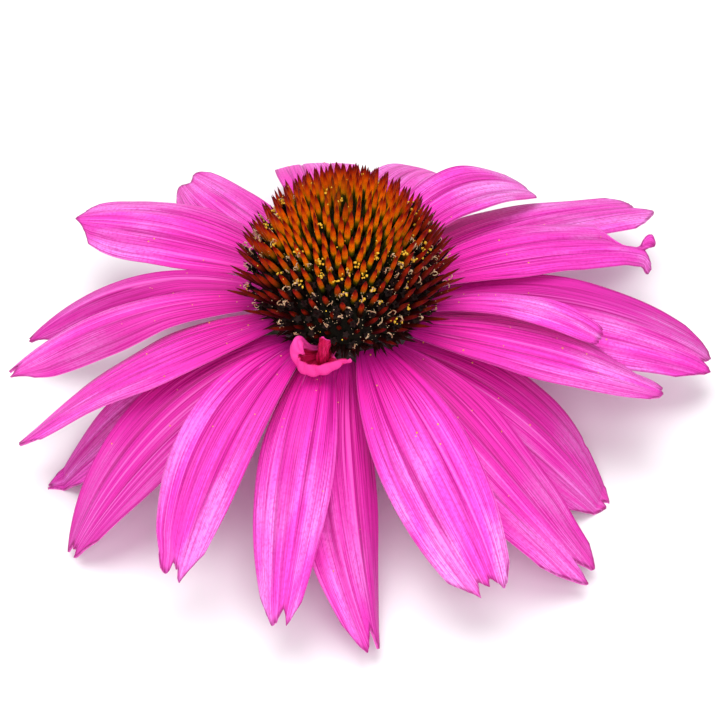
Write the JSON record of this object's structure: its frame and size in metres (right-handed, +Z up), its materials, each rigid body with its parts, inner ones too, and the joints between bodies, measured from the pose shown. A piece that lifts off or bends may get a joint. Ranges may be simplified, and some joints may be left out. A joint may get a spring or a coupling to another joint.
{
  "type": "purple coneflower bloom",
  "caption": "Coneflower bloom as picked: a spiny domed disc cone ringed by drooping pink ray petals in layers, over green bracts and a short stalk stub, resting face up on three petal tips.",
  "frame": {"origin": "on the surface that the bloom rests on, under the middle of its box", "axes": "+Z up along the flower's axis, -Y to the front of the bloom, +X to its right"},
  "size_m": [0.0788, 0.08, 0.0326],
  "materials": {
    "disc_cone": "stiff satin paleae, orange bodies with dark maroon tips over near-black gaps",
    "ray_pink": "soft satin petal, magenta pink with fine veins",
    "curled_ray_pink": "soft satin petal, deep rose pink",
    "bract_green": "matte green, finely hairy"
  },
  "bodies": {
    "root": {"disc_cone": "disc_cone", "stalk_with_bracts": "bract_green", "ray_petal_01": "ray_pink", "ray_petal_02": "ray_pink", "ray_petal_03": "ray_pink", "ray_petal_04": "ray_pink", "ray_petal_05": "ray_pink", "ray_petal_06": "ray_pink", "ray_petal_07": "ray_pink", "ray_petal_08": "ray_pink", "ray_petal_09": "ray_pink", "ray_petal_10": "ray_pink", "ray_petal_11": "ray_pink", "ray_petal_12": "ray_pink", "ray_petal_13": "ray_pink", "ray_petal_14": "ray_pink", "ray_petal_15": "ray_pink", "ray_petal_16": "ray_pink", "ray_petal_17": "ray_pink", "ray_petal_18": "ray_pink", "ray_petal_19": "ray_pink", "ray_petal_20": "ray_pink", "ray_petal_21": "ray_pink", "curled_ray_petal": "curled_ray_pink"}
  },
  "joints": []
}
